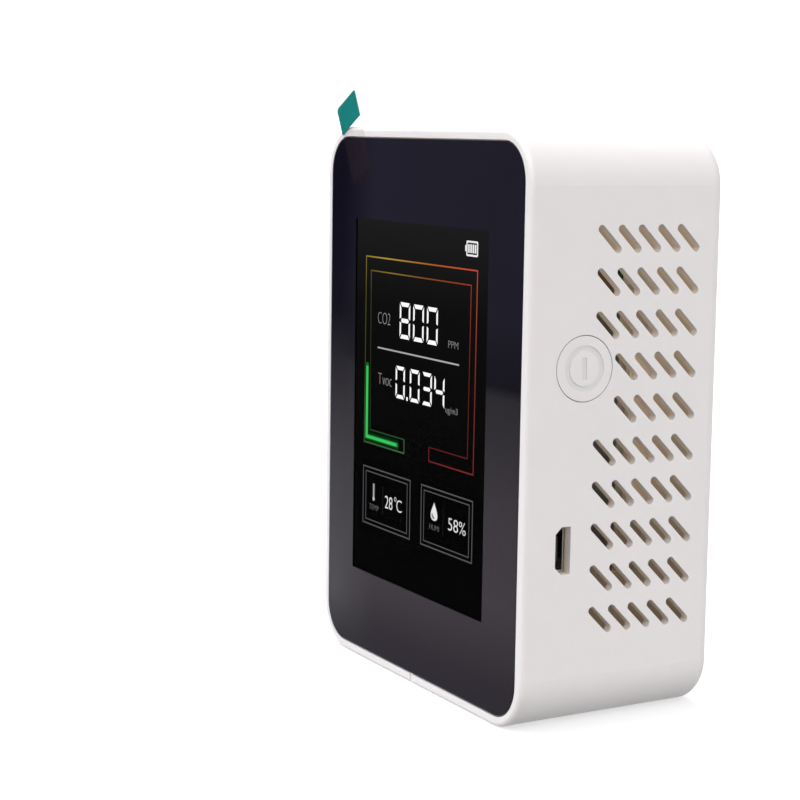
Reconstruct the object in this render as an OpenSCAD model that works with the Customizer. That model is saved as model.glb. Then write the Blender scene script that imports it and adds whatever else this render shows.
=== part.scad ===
// Desktop air quality monitor: a one-piece moulded case, a bonded front lens and the stack behind it.
// Millimetres, Z up, front towards -Y. The case stands on its drafted bottom face, which lies in z = 0.
// Inside the modules y is the depth behind the lens front, x and z are measured from the lens centre.

/* [Case] */
// Case width at the front
case_w = 72.6; // [60:0.1:90]
// Case height at the front
case_h = 97.8; // [80:0.1:130]
// Case depth, front rim to back
case_d = 38.2; // [36:0.1:50]
// Case corner radius at the front
corner_r = 9; // [7.5:0.1:12]
// Draft on every side wall, degrees
draft = 1.146; // [0.5:0.001:2]
// Edge radius at the front rim
front_edge = 0.8; // [0.3:0.1:1.2]
// Edge radius at the back
back_edge = 2.8; // [1.8:0.1:5]
// Back wall thickness
back_wall = 1.8; // [1.2:0.1:3]

/* [Lens and film] */
// Lens width
lens_w = 68.8; // [56:0.1:86]
// Lens height
lens_h = 94; // [76:0.1:126]
// Lens corner radius
lens_r = 6.5; // [4:0.1:10]
// Lens thickness
lens_t = 0.8; // [0.8:0.05:1.2]
// Gap all round the lens
lens_gap = 0.15; // [0.05:0.05:0.4]
// Protective film thickness
film_t = 0.1; // [0.05:0.01:0.2]
// Pull tab length across the strip
tab_w = 7.9; // [5:0.1:12]
// Pull tab length along the strip
tab_len = 5.2; // [3:0.1:10]
// Angle of the pull strip from upright, degrees
tab_lean = 27.5; // [0:0.5:60]

/* [Display] */
// Display module width
lcd_w = 55; // [50:0.1:60]
// Display module height
lcd_h = 77.7; // [70:0.1:80]
// Display centre, sideways from the lens centre
lcd_x = -0.4; // [-1:0.1:1]
// Display centre, height from the lens centre
lcd_z = 0.05; // [-0.4:0.05:0.4]
// Clear window width
window_w = 47.9; // [44:0.1:50]
// Clear window height
window_h = 64.8; // [60:0.1:68]

/* [Vents] */
// Rows of slots on each side
vent_rows = 10; // [4:1:12]
// Slots in a full row
vent_cols = 5; // [2:1:5]
// Height of the top row above the lens centre
vent_top = 31.6; // [20:0.1:34]
// Distance between rows
vent_row_pitch = 6.914; // [6:0.001:8]
// Distance between slots in a row
vent_col_pitch = 3.89; // [3.5:0.01:4.5]
// Depth of the front column
vent_first = 15.14; // [14:0.01:18]
// Slot length, end to end
slot_len = 5.9; // [3:0.1:7]
// Slot width
slot_w = 1.38; // [0.8:0.01:1.8]

/* [Power button] */
// Button cap radius
button_r = 5.3; // [4:0.05:6]
// Gap round the button cap
button_gap = 0.15; // [0.05:0.01:0.3]
// Button centre, depth
button_y = 10.85; // [10.5:0.05:12]
// Button centre, height above the lens centre
button_z = 10.94; // [8:0.01:14]
// Button travel
button_travel = 0.4; // [0.2:0.05:0.6]

/* [Charging socket] */
// Socket centre, depth
usb_y = 7.55; // [7.5:0.05:8]
// Socket centre, height above the lens centre
usb_z = -18.5; // [-30:0.1:-10]
// Case cut-out width
usb_cut_w = 7.8; // [7.6:0.1:9]
// Case cut-out height
usb_cut_h = 2.9; // [2.7:0.1:4]

/* [Boards and battery] */
// Main board width
pcb_w = 64; // [60:0.5:65]
// Main board height
pcb_h = 76; // [60:0.5:77]
// Main board thickness
pcb_t = 1.2; // [0.8:0.1:1.3]
// Battery cell width
cell_w = 34; // [20:1:36]
// Battery cell height
cell_h = 50; // [30:1:52]
// Battery cell thickness
cell_t = 5.8; // [3:0.1:8]

/* [Hidden] */
$fn = 96;

// Draft as a slope, and as the stretch it gives a wall's normal.
slope = tan(draft);
stretch = 1 / cos(draft);

// Depths of the stack, from the lens front backwards.
mask_y = lens_t + 0.06;
lcd_y = lens_t + 0.25;
frame_y = lens_t + 0.28;
frame_back = frame_y + 2.4;
lcd_back = lcd_y + 2.45;
pcb_y = 5;
pcb_back = pcb_y + pcb_t;
inner_back = case_d - back_wall;
cell_back = inner_back - 0.3;
cell_y = cell_back - cell_t;

// The film's pull strip: the middle of the tab's lower end, how far the strip runs below it, and thicknesses.
strip_x = -26.5;
strip_z = 49.14;
strip_low = 10;
strip_t = 0.04;
tab_t = 0.08;

// The opening in the case, a clear gap larger than the lens.
open_w = lens_w + 2 * lens_gap;
open_h = lens_h + 2 * lens_gap;
open_r = lens_r + lens_gap;

// The screws that hold the front frame, and those that hold the main board to it.
boss_x = 29.5;
boss_z = 42.1;
boss_r = 2.6;
post_x = 30.4;
post_z = 33;
post_r = 1.5;

// The power button's inner face, and the switch behind it.
button_in = 33.1;
plunger_r = 1.75;
switch_size = 6.2;
switch_face = 31.7;

// The charging socket's shell.
shell_w = 7.5;
shell_h = 2.5;
shell_t = 0.25;
shell_front = 34.4;
shell_rear = 29;

// The sensor daughter board.
sensor_x = -18;
sensor_z = -21.3;
sensor_y = 11;
sensor_t = 1.2;
can_r = 4.6;
can_back = 19.4;

// Where the battery plugs in.
plug_x = -6;
lead_pitch = 2;
lead_r = 0.6;

// The middle of the depth once the case leans back on its drafted bottom, from the film's lower edge
// to the rounded top edge of the back.
rear_y = case_d - back_edge;
rear_z = case_h - slope * rear_y - stretch * back_edge;
rear_most = rear_y * cos(draft) + rear_z * sin(draft) + back_edge;
front_most = (case_h - lens_h + 0.6) / 2 * sin(draft) - film_t * cos(draft);
centre_y = (rear_most + front_most) / 2;

// Stands the case on its drafted bottom face.
module placed() {
    translate([0, -centre_y, 0])
        rotate([-draft, 0, 0])
            translate([0, 0, case_h / 2])
                children();
}

// Extrudes a drawing in x and z from depth y0 to depth y1.
module slab(y0, y1) {
    translate([0, y1, 0])
        rotate([90, 0, 0])
            linear_extrude(height = y1 - y0)
                children();
}

// Extrudes a drawing in y and z from x0 to x1.
module side_slab(x0, x1) {
    translate([x0, 0, 0])
        rotate([90, 0, 90])
            linear_extrude(height = x1 - x0)
                children();
}

module rod_y(r, y0, y1) {
    slab(y0, y1)
        circle(r = r);
}

module rod_x(r, x0, x1) {
    side_slab(x0, x1)
        circle(r = r);
}

// A box from one corner to the other.
module block(a, b) {
    translate(a)
        cube(b - a);
}

// A rectangle with rounded corners.
module rounded(w, h, r) {
    square([w - 2 * r, h], center = true);
    square([w, h - 2 * r], center = true);
    for (x = [-1, 1], z = [-1, 1])
        translate([x * (w / 2 - r), z * (h / 2 - r)])
            circle(r = r);
}

// A straight slot with round ends, centred, along x.
module slot(length, width) {
    square([length - width, width], center = true);
    for (x = [-1, 1])
        translate([x * (length - width) / 2, 0])
            circle(d = width);
}

// Half a drafted wall section: u outwards, v backwards, edge radii ef at the front and eb at the back.
// Each edge's circle is a hair larger than its radius, so that it crosses the flats and doesn't graze them.
module section(u, d, ef, eb) {
    hair = 1.01;
    uf = u - slope * ef - stretch * ef;
    ub = u - slope * (d - eb) - stretch * eb;
    intersection() {
        polygon([[0, 0], [u, 0], [u - slope * d, d], [0, d]]);
        union() {
            polygon([[0, 0], [uf, 0], [uf + ef * cos(draft), ef + ef * sin(draft)],
                [ub + eb * cos(draft), d - eb + eb * sin(draft)], [ub, d], [0, d]]);
            translate([uf, ef])
                circle(r = ef * hair);
            translate([ub, d - eb])
                circle(r = eb * hair);
        }
    }
}

// A drafted block with rounded corners, from y = 0 back to y = d.
module drafted(w, h, d, r, ef, eb) {
    cx = w / 2 - r;
    cz = h / 2 - r;
    for (mx = [0, 1], mz = [0, 1])
        mirror([mx, 0, 0])
            mirror([0, 0, mz])
                translate([cx, 0, cz])
                    rotate([-90, 0, 0])
                        rotate_extrude(angle = -90)
                            section(r, d, ef, eb);
    for (mx = [0, 1])
        mirror([mx, 0, 0])
            translate([0, 0, -cz])
                linear_extrude(height = 2 * cz)
                    section(w / 2, d, ef, eb);
    for (mz = [0, 1])
        mirror([0, 0, mz])
            rotate([0, -90, 0])
                translate([0, 0, -cx])
                    linear_extrude(height = 2 * cx)
                        section(h / 2, d, ef, eb);
}

// A drafted pocket with square inner edges, from y = -mouth back to y = d.
module pocket(w, h, r, mouth, d) {
    cx = w / 2 - r;
    cz = h / 2 - r;
    front = slope * mouth;
    back = slope * d;
    for (mx = [-1, 1], mz = [-1, 1])
        translate([mx * cx, d, mz * cz])
            rotate([90, 0, 0])
                cylinder(r1 = r - back, r2 = r + front, h = d + mouth);
    translate([0, 0, -cz])
        linear_extrude(height = 2 * cz)
            polygon([[-w / 2 - front, -mouth], [w / 2 + front, -mouth],
                [w / 2 - back, d], [-w / 2 + back, d]]);
    rotate([0, -90, 0])
        translate([0, 0, -cx])
            linear_extrude(height = 2 * cx)
                polygon([[-h / 2 - front, -mouth], [h / 2 + front, -mouth],
                    [h / 2 - back, d], [-h / 2 + back, d]]);
}

// The vent slots of one side. The rows beside the button lose their front slot.
module vents(x0, x1, beside_button) {
    side_slab(x0, x1)
        for (row = [0 : vent_rows - 1], col = [0 : vent_cols - 1])
            if (!(beside_button && col == 0 && (row == 3 || row == 4)))
                translate([vent_first + col * vent_col_pitch, vent_top - row * vent_row_pitch])
                    rotate(-45)
                        slot(slot_len, slot_w);
}

// The charging cut-out: narrow towards the front.
module usb_outline(w, h, chamfer) {
    polygon([[-h / 2, -w / 2 + chamfer], [-h / 2 + chamfer, -w / 2], [h / 2, -w / 2],
        [h / 2, w / 2], [-h / 2 + chamfer, w / 2], [-h / 2, w / 2 - chamfer]]);
}

module at_corners(x, z) {
    for (mx = [-1, 1], mz = [-1, 1])
        translate([mx * x, 0, mz * z])
            children();
}

module housing() {
    mouth = 1;
    boss_depth = 9;
    insert_line = 0.07;
    color([0.93, 0.92, 0.91])
        placed()
            difference() {
                union() {
                    difference() {
                        drafted(case_w, case_h, case_d, corner_r, front_edge, back_edge);
                        pocket(open_w, open_h, open_r, mouth, inner_back);
                    }
                    at_corners(boss_x, boss_z)
                        rod_y(boss_r, frame_back, inner_back + 0.5);
                    for (m = [-1, 1])
                        translate([m * (cell_w / 2 + 1.2), 0, -3])
                            block([-0.6, inner_back - 5, -14], [0.6, inner_back + 0.5, 14]);
                    translate([0, 0, -cell_h / 2 - 4])
                        block([-10, inner_back - 5, -0.6], [10, inner_back + 0.5, 0.6]);
                }
                at_corners(boss_x, boss_z)
                    rod_y(1, frame_back - 1, frame_back + boss_depth);
                vents(case_w / 2 - 4, case_w / 2 + 1, true);
                vents(-case_w / 2 - 1, -case_w / 2 + 4, false);
                translate([0, button_y, button_z])
                    rod_x(button_r + button_gap, case_w / 2 - 4, case_w / 2 + 1);
                translate([0, usb_y, usb_z])
                    side_slab(case_w / 2 - 4, case_w / 2 + 1)
                        usb_outline(usb_cut_w, usb_cut_h, 1.15);
                block([-1.4, -1, -case_h / 2 - 1], [-0.3, 0.25, -open_h / 2 + 1]);
                for (m = [-1, 1], z = [-1, 1])
                    translate([m * case_w / 2, 0, z * (case_h / 2 - corner_r)])
                        rotate([0, 0, m * draft])
                            block([-insert_line / 2, 2.5, -insert_line / 2],
                                [insert_line / 2, case_d - 3.2, insert_line / 2]);
            }
}

module front_frame() {
    color([0.16, 0.16, 0.17])
        placed()
            difference() {
                union() {
                    slab(frame_y, frame_back)
                        difference() {
                            rounded(open_w - 0.7, open_h - 0.7, open_r - 0.35);
                            translate([lcd_x, lcd_z])
                                square([lcd_w + 0.6, lcd_h + 0.6], center = true);
                        }
                    at_corners(post_x, post_z)
                        rod_y(post_r, frame_back - 0.4, pcb_y);
                }
                at_corners(boss_x, boss_z) {
                    rod_y(2.1, frame_y - 1, frame_y + 1.2);
                    rod_y(1.1, frame_y - 1, frame_back + 1);
                }
                at_corners(post_x, post_z)
                    rod_y(0.75, frame_y + 0.7, pcb_y + 1);
            }
}

// A pan-head screw along y, with a cross recess: head from y0 to y1, shank on to y2.
module screw(head_r, shank_r, y0, y1, y2) {
    recess = head_r * 0.55;
    difference() {
        rod_y(head_r, min(y0, y1), max(y0, y1));
        for (a = [0, 90])
            rotate([0, a, 0])
                block([-recess, y0 - 0.5, -0.22], [recess, y0 + 0.5, 0.22]);
    }
    rod_y(shank_r, min(y1, y2), max(y1, y2));
}

module frame_screws() {
    color([0.55, 0.55, 0.57])
        placed()
            at_corners(boss_x, boss_z)
                screw(1.9, 0.95, frame_y + 0.1, frame_y + 1.2, frame_back + 7);
}

module pcb_screws() {
    color([0.6, 0.6, 0.62])
        placed()
            at_corners(post_x, post_z)
                screw(1.5, 0.7, pcb_back + 0.9, pcb_back, frame_y + 1.2);
}

module front_lens() {
    color([0.1, 0.11, 0.14])
        placed()
            slab(0, lens_t)
                rounded(lens_w, lens_h, lens_r);
}

module lens_black_mask() {
    color([0.03, 0.03, 0.04])
        placed()
            slab(lens_t, mask_y)
                difference() {
                    rounded(lens_w - 0.3, lens_h - 0.3, lens_r - 0.15);
                    translate([lcd_x, lcd_z])
                        square([window_w, window_h], center = true);
                }
}

module lens_adhesive() {
    color([0.12, 0.12, 0.12])
        placed()
            slab(mask_y, frame_y)
                difference() {
                    rounded(open_w - 1.6, open_h - 1.6, open_r - 0.8);
                    translate([lcd_x, lcd_z])
                        square([lcd_w + 1.6, lcd_h + 1.6], center = true);
                    for (mx = [-1, 1], mz = [-1, 1])
                        translate([mx * boss_x, mz * boss_z])
                            circle(r = 2.2);
                }
}

module protective_film() {
    color([0.8, 0.85, 0.9, 0.3])
        placed()
            slab(-film_t, 0)
                rounded(lens_w - 0.6, lens_h - 0.6, lens_r - 0.3);
}

// The pull strip's own frame: x across it, z along it, from the tab's lower end.
module on_strip() {
    translate([strip_x, 0, strip_z])
        rotate([0, -tab_lean, 0])
            children();
}

module film_tab_tape() {
    color([0.85, 0.85, 0.82, 0.4])
        placed()
            on_strip()
                block([-tab_w / 2, -film_t - strip_t, -strip_low], [tab_w / 2, -film_t, tab_len - 0.3]);
}

// What a round corner of radius r cuts away, with the corner at the origin and the sheet below and beside it.
module corner_waste(r, side) {
    difference() {
        translate([side > 0 ? -r : -1, -r])
            square([r + 1, r + 1]);
        translate([-side * r, -r])
            circle(r = r);
    }
}

module film_pull_tab() {
    color([0.05, 0.46, 0.44])
        placed()
            on_strip()
                slab(-film_t - strip_t - tab_t, -film_t - strip_t)
                    difference() {
                        translate([-tab_w / 2, 0])
                            square([tab_w, tab_len]);
                        translate([-tab_w / 2, tab_len])
                            corner_waste(0.8, -1);
                        translate([tab_w / 2, tab_len])
                            corner_waste(0.4, 1);
                    }
}

module power_button() {
    flange_r = button_r + 0.6;
    deboss = 0.15;
    face = case_w / 2 - slope * button_y;
    color([0.93, 0.92, 0.91])
        placed()
            translate([0, button_y, button_z])
                difference() {
                    union() {
                        rod_x(button_r, button_in, face + 1);
                        rod_x(flange_r, button_in, button_in + 0.7);
                    }
                    translate([face, 0, 0])
                        rotate([0, 0, draft])
                            block([0, -10, -10], [5, 10, 10]);
                    translate([face, 0, 0])
                        rotate([0, 0, draft]) {
                            difference() {
                                rod_x(3.73, -deboss, 1);
                                rod_x(2.86, -1, 2);
                            }
                            block([-deboss, -0.43, -1.78], [1, 0.43, 1.78]);
                        }
                }
}

module switch_body() {
    half = switch_size / 2;
    depth = 3.6;
    color([0.08, 0.08, 0.09])
        placed()
            translate([0, button_y, button_z])
                difference() {
                    union() {
                        block([switch_face - depth, -half, -half], [switch_face, half, half]);
                        block([switch_face - depth, pcb_back - button_y, -half + 0.6],
                            [switch_face - 0.6, -half, half - 0.6]);
                    }
                    rod_x(plunger_r + 0.05, switch_face - 2.4, switch_face + 1);
                }
}

module switch_plunger() {
    color([0.1, 0.1, 0.1])
        placed()
            translate([0, button_y, button_z])
                rod_x(plunger_r, switch_face - 1.6, button_in - 0.05);
}

module switch_terminals() {
    half = switch_size / 2;
    color([0.75, 0.75, 0.77])
        placed()
            translate([0, 0, button_z])
                for (m = [-1, 1]) {
                    block([switch_face - 2.6, pcb_back, m * (half + 0.35) - 0.2],
                        [switch_face - 1.6, button_y + 1, m * (half + 0.35) + 0.2]);
                    block([switch_face - 2.6, pcb_back, m * (half + 0.9) - 0.7],
                        [switch_face - 1.6, pcb_back + 0.25, m * (half + 0.9) + 0.7]);
                }
}

module usb_socket_shell() {
    wing = 1.2;
    color([0.72, 0.72, 0.74])
        placed()
            translate([0, pcb_back + shell_h / 2 + 0.05, usb_z]) {
                side_slab(shell_rear, shell_front)
                    difference() {
                        usb_outline(shell_w, shell_h, 1);
                        usb_outline(shell_w - 2 * shell_t, shell_h - 2 * shell_t, 0.86);
                    }
                for (m = [-1, 1])
                    block([shell_rear + 0.8, -shell_h / 2 - 0.05, m * (shell_w + wing) / 2 - wing / 2],
                        [shell_rear + 2.2, -shell_h / 2 + 0.2, m * (shell_w + wing) / 2 + wing / 2]);
                for (m = [-1, 1])
                    block([shell_rear + 0.8, -shell_h / 2 - 0.05, m * (shell_w / 2 + 0.125) - 0.125],
                        [shell_rear + 2.2, 0.4, m * (shell_w / 2 + 0.125) + 0.125]);
            }
}

module usb_socket_tongue() {
    color([0.05, 0.05, 0.05])
        placed()
            translate([0, pcb_back + shell_h / 2 + 0.05, usb_z]) {
                side_slab(shell_rear, shell_rear + 1.6)
                    usb_outline(shell_w - 2 * shell_t, shell_h - 2 * shell_t, 0.86);
                block([shell_rear + 1.6, -0.1, -1.9], [shell_front - 0.6, 0.5, 1.9]);
            }
}

module usb_contacts() {
    pitch = 0.65;
    color([0.85, 0.68, 0.3])
        placed()
            translate([0, pcb_back + shell_h / 2 + 0.05, usb_z])
                for (i = [-2 : 2])
                    block([shell_rear + 1.6, -0.2, i * pitch - 0.18],
                        [shell_front - 0.8, -0.1, i * pitch + 0.18]);
}

module main_pcb() {
    hole_r = 0.95;
    color([0.05, 0.33, 0.16])
        placed()
            slab(pcb_y, pcb_back)
                difference() {
                    rounded(pcb_w, pcb_h, 1.5);
                    for (mx = [-1, 1], mz = [-1, 1])
                        translate([mx * post_x, mz * post_z])
                            circle(r = hole_r);
                    translate([19.6, -25.5])
                        square([1, 7.5], center = true);
                    translate([22.6, -22.2])
                        square([7, 1], center = true);
                }
}

module lcd_backlight_frame() {
    lip = 0.7;
    color([0.78, 0.78, 0.8])
        placed()
            translate([lcd_x, 0, lcd_z])
                difference() {
                    slab(lcd_y, lcd_back)
                        square([lcd_w, lcd_h], center = true);
                    slab(lcd_y - 1, lcd_y + 1.25)
                        square([lcd_w - 2 * lip, lcd_h - 2 * lip], center = true);
                }
}

module lcd_glass() {
    color([0.06, 0.07, 0.08])
        placed()
            translate([lcd_x, 0, lcd_z])
                slab(lcd_y, lcd_y + 1.25)
                    square([lcd_w - 1.8, lcd_h - 1.8], center = true);
}

module lcd_polariser() {
    color([0.02, 0.02, 0.025])
        placed()
            translate([lcd_x, 0, lcd_z])
                slab(lcd_y - 0.15, lcd_y)
                    square([51.2, 69.5], center = true);
}

module lcd_foam_pad() {
    color([0.1, 0.1, 0.1])
        placed()
            translate([lcd_x, 0, lcd_z])
                slab(lcd_back, pcb_y)
                    difference() {
                        square([50, 64], center = true);
                        square([38, 52], center = true);
                    }
}

// The ribbon leaves the module's back, turns round the board's lower edge and enters its connector.
module lcd_flex() {
    t = 0.15;
    half_w = 14;
    y_in = lcd_back + 0.05;
    y_out = pcb_back + 0.35;
    turn = (y_out + t - y_in) / 2;
    turn_z = -pcb_h / 2 - 0.2;
    color([0.75, 0.45, 0.12])
        placed()
            translate([lcd_x, 0, 0])
                side_slab(-half_w, half_w) {
                    translate([y_in, turn_z])
                        square([t, 3.2]);
                    translate([y_out, turn_z])
                        square([t, 3.2]);
                    difference() {
                        translate([y_in + turn, turn_z])
                            circle(r = turn);
                        translate([y_in + turn, turn_z])
                            circle(r = turn - t);
                        translate([y_in - 1, turn_z])
                            square([2 * turn + 2, turn + 1]);
                    }
                }
}

module lcd_connector() {
    z0 = -pcb_h / 2 + 3;
    color([0.9, 0.88, 0.8])
        placed()
            translate([lcd_x, 0, 0])
                difference() {
                    block([-16, pcb_back, z0], [16, pcb_back + 1.4, z0 + 4]);
                    block([-15, pcb_back + 0.6, z0 + 2.6], [15, pcb_back + 2, z0 + 5]);
                }
}

// A square flat package: body and one row of leads on each side.
module quad_body(w, h) {
    difference() {
        block([-w / 2, pcb_back + 0.1, -w / 2], [w / 2, pcb_back + h, w / 2]);
        translate([-w / 2 + 1.1, 0, w / 2 - 1.1])
            rod_y(0.4, pcb_back + h - 0.1, pcb_back + h + 1);
    }
}

module lead_row(count, pitch, w, reach) {
    for (i = [0 : count - 1])
        translate([(i - (count - 1) / 2) * pitch, 0, w / 2]) {
            block([-0.12, pcb_back + 0.55, 0], [0.12, pcb_back + 0.7, reach * 0.6]);
            block([-0.12, pcb_back, reach * 0.5], [0.12, pcb_back + 0.7, reach * 0.6]);
            block([-0.12, pcb_back, reach * 0.5], [0.12, pcb_back + 0.15, reach]);
        }
}

module microcontroller() {
    color([0.07, 0.07, 0.08])
        placed()
            translate([2, 0, 2])
                quad_body(7, 1.5);
}

module microcontroller_leads() {
    color([0.78, 0.78, 0.8])
        placed()
            translate([2, 0, 2])
                for (a = [0, 90, 180, 270])
                    rotate([0, a, 0])
                        lead_row(12, 0.5, 7, 1);
}

module charge_ic() {
    color([0.07, 0.07, 0.08])
        placed()
            translate([20, 0, -14])
                block([-2.45, pcb_back + 0.1, -1.95], [2.45, pcb_back + 1.5, 1.95]);
}

module charge_ic_leads() {
    color([0.78, 0.78, 0.8])
        placed()
            translate([20, 0, -14])
                for (a = [0, 180])
                    rotate([0, a, 0])
                        lead_row(4, 1.27, 3.9, 1.05);
}

module power_inductor() {
    color([0.2, 0.2, 0.21])
        placed()
            translate([19, 0, -5])
                slab(pcb_back, pcb_back + 2.8)
                    rounded(5.8, 5.8, 1);
}

module crystal_can() {
    color([0.8, 0.8, 0.82])
        placed()
            translate([2, 0, -8])
                slab(pcb_back, pcb_back + 3.4)
                    slot(10.2, 3.8);
}

module ceramic_capacitors() {
    color([0.72, 0.6, 0.42])
        placed() {
            for (i = [0 : 3])
                translate([-3.6 + i * 3.7, 0, 9.2])
                    block([-0.8, pcb_back, -0.4], [0.8, pcb_back + 0.8, 0.4]);
            for (i = [0 : 3])
                translate([25.5, 0, -3 - i * 2.4])
                    block([-0.8, pcb_back, -0.4], [0.8, pcb_back + 0.8, 0.4]);
            for (i = [0 : 2])
                translate([-12 + i * 3, 0, 20])
                    block([-0.8, pcb_back, -0.4], [0.8, pcb_back + 0.8, 0.4]);
        }
}

module chip_resistors() {
    color([0.12, 0.12, 0.13])
        placed() {
            for (i = [0 : 5])
                translate([10 + i * 2.2, 0, 22])
                    block([-0.4, pcb_back, -0.8], [0.4, pcb_back + 0.45, 0.8]);
            for (i = [0 : 4])
                translate([-12, 0, 8 - i * 2.2])
                    block([-0.8, pcb_back, -0.4], [0.8, pcb_back + 0.45, 0.4]);
        }
}

module gas_sensor_board() {
    color([0.1, 0.16, 0.4])
        placed()
            translate([sensor_x, 0, sensor_z])
                slab(sensor_y, sensor_y + sensor_t)
                    difference() {
                        rounded(18, 20, 1);
                        for (x = [-1, 1])
                            translate([x * 7, 7.8])
                                circle(r = 1);
                    }
}

module gas_sensor_can() {
    y0 = sensor_y + sensor_t;
    color([0.8, 0.8, 0.82])
        placed()
            translate([sensor_x, 0, sensor_z + 1])
                difference() {
                    union() {
                        rod_y(can_r + 0.5, y0, y0 + 0.8);
                        rod_y(can_r, y0, can_back);
                    }
                    rod_y(can_r - 0.4, y0 + 1.4, can_back - 0.4);
                    rod_y(3, can_back - 1, can_back + 1);
                }
}

module gas_sensor_mesh() {
    bar = 0.2;
    cell = 0.8;
    color([0.55, 0.55, 0.56])
        placed()
            translate([sensor_x, 0, sensor_z + 1])
                slab(can_back - 0.7, can_back - 0.4)
                    intersection() {
                        circle(r = can_r - 0.5);
                        union() {
                            difference() {
                                circle(r = can_r - 0.5);
                                circle(r = 2.9);
                            }
                            for (i = [-4 : 4]) {
                                translate([i * cell, 0])
                                    square([bar, 2 * can_r], center = true);
                                translate([0, i * cell])
                                    square([2 * can_r, bar], center = true);
                            }
                        }
                    }
}

module sensor_header_pins() {
    color([0.82, 0.7, 0.35])
        placed()
            for (i = [-2 : 2])
                translate([sensor_x + i * 2.54, 0, sensor_z - 8])
                    block([-0.32, pcb_back, -0.32], [0.32, sensor_y, 0.32]);
}

module sensor_header_strip() {
    color([0.05, 0.05, 0.05])
        placed()
            difference() {
                translate([sensor_x, 0, sensor_z - 8])
                    block([-6.35, pcb_back + 1, -1.27], [6.35, pcb_back + 3.5, 1.27]);
                for (i = [-2 : 2])
                    translate([sensor_x + i * 2.54, 0, sensor_z - 8])
                        block([-0.34, pcb_back, -0.34], [0.34, sensor_y, 0.34]);
            }
}

module humidity_sensor() {
    color([0.9, 0.9, 0.9])
        placed()
            translate([23.6, 0, -26])
                difference() {
                    block([-1.5, pcb_back, -1.5], [1.5, pcb_back + 1.1, 1.5]);
                    rod_y(0.7, pcb_back + 0.7, pcb_back + 2);
                }
}

module battery_pad() {
    color([0.85, 0.85, 0.85])
        placed()
            translate([0, 0, -3])
                slab(cell_back, inner_back)
                    square([cell_w - 8, cell_h - 12], center = true);
}

module battery_cell() {
    color([0.72, 0.73, 0.75])
        placed()
            translate([0, 0, -3])
                slab(cell_y, cell_back)
                    rounded(cell_w, cell_h, 1.6);
}

module battery_protection_board() {
    color([0.05, 0.33, 0.16])
        placed()
            translate([0, 0, cell_h / 2 - 3])
                block([-cell_w / 2 + 4, cell_y + 2.4, 0.1], [cell_w / 2 - 4, cell_y + 3.2, 3.4]);
}

module battery_tape() {
    t = 0.12;
    top = 3.7;
    color([0.85, 0.6, 0.12])
        placed()
            translate([0, 0, cell_h / 2 - 3])
                difference() {
                    block([-cell_w / 2 + 2, cell_y - t, -4], [cell_w / 2 - 2, cell_back, top + t]);
                    block([-cell_w / 2 - 1, cell_y, -5], [cell_w / 2 + 1, cell_back + 1, top]);
                    for (m = [-1, 1])
                        translate([plug_x + m * lead_pitch / 2, cell_y + 2.8, 0])
                            cylinder(r = lead_r + 0.1, h = 6);
                }
}

// A lead: up out of the plug, back over the board and down to the cell.
module lead(x) {
    bend = 3;
    y_a = pcb_back + 2.1;
    y_b = cell_y + 2.8;
    low_a = pcb_h / 2 - 5;
    low_b = cell_h / 2 + 0.4;
    high = pcb_h / 2 - 4;
    translate([x, y_a, low_a])
        cylinder(r = lead_r, h = high - low_a);
    translate([x, y_b, low_b])
        cylinder(r = lead_r, h = high - low_b);
    translate([x, 0, high + bend])
        rod_y(lead_r, y_a + bend, y_b - bend);
    translate([x, y_a + bend, high])
        rotate([90, 0, -90])
            rotate_extrude(angle = 90)
                translate([bend, 0])
                    circle(r = lead_r);
    translate([x, y_b - bend, high])
        rotate([90, 0, 90])
            rotate_extrude(angle = 90)
                translate([bend, 0])
                    circle(r = lead_r);
}

module battery_lead_red() {
    color([0.75, 0.06, 0.05])
        placed()
            lead(plug_x - lead_pitch / 2);
}

module battery_lead_black() {
    color([0.04, 0.04, 0.04])
        placed()
            lead(plug_x + lead_pitch / 2);
}

module battery_plug() {
    z0 = pcb_h / 2 - 11.2;
    color([0.93, 0.92, 0.88])
        placed()
            block([plug_x - 2.8, pcb_back + 1, z0], [plug_x + 2.8, pcb_back + 3.2, z0 + 6]);
}

module battery_header() {
    z0 = pcb_h / 2 - 13;
    color([0.9, 0.88, 0.82])
        placed()
            difference() {
                block([plug_x - 3.95, pcb_back, z0], [plug_x + 3.95, pcb_back + 4.2, z0 + 6]);
                block([plug_x - 3, pcb_back + 0.8, z0 + 1.5], [plug_x + 3, pcb_back + 3.4, z0 + 7]);
            }
}

housing();
front_frame();
frame_screws();
front_lens();
lens_black_mask();
lens_adhesive();
protective_film();
film_pull_tab();
film_tab_tape();
power_button();
switch_body();
switch_plunger();
switch_terminals();
usb_socket_shell();
usb_socket_tongue();
usb_contacts();
main_pcb();
pcb_screws();
lcd_backlight_frame();
lcd_glass();
lcd_polariser();
lcd_flex();
lcd_connector();
lcd_foam_pad();
microcontroller();
microcontroller_leads();
charge_ic();
charge_ic_leads();
power_inductor();
crystal_can();
ceramic_capacitors();
chip_resistors();
gas_sensor_board();
gas_sensor_can();
gas_sensor_mesh();
sensor_header_pins();
sensor_header_strip();
humidity_sensor();
battery_cell();
battery_protection_board();
battery_tape();
battery_pad();
battery_lead_red();
battery_lead_black();
battery_plug();
battery_header();
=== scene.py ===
"""Looks for the desktop air quality monitor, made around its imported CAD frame."""
import math

import bmesh
import bpy
from mathutils import Matrix, Vector


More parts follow.
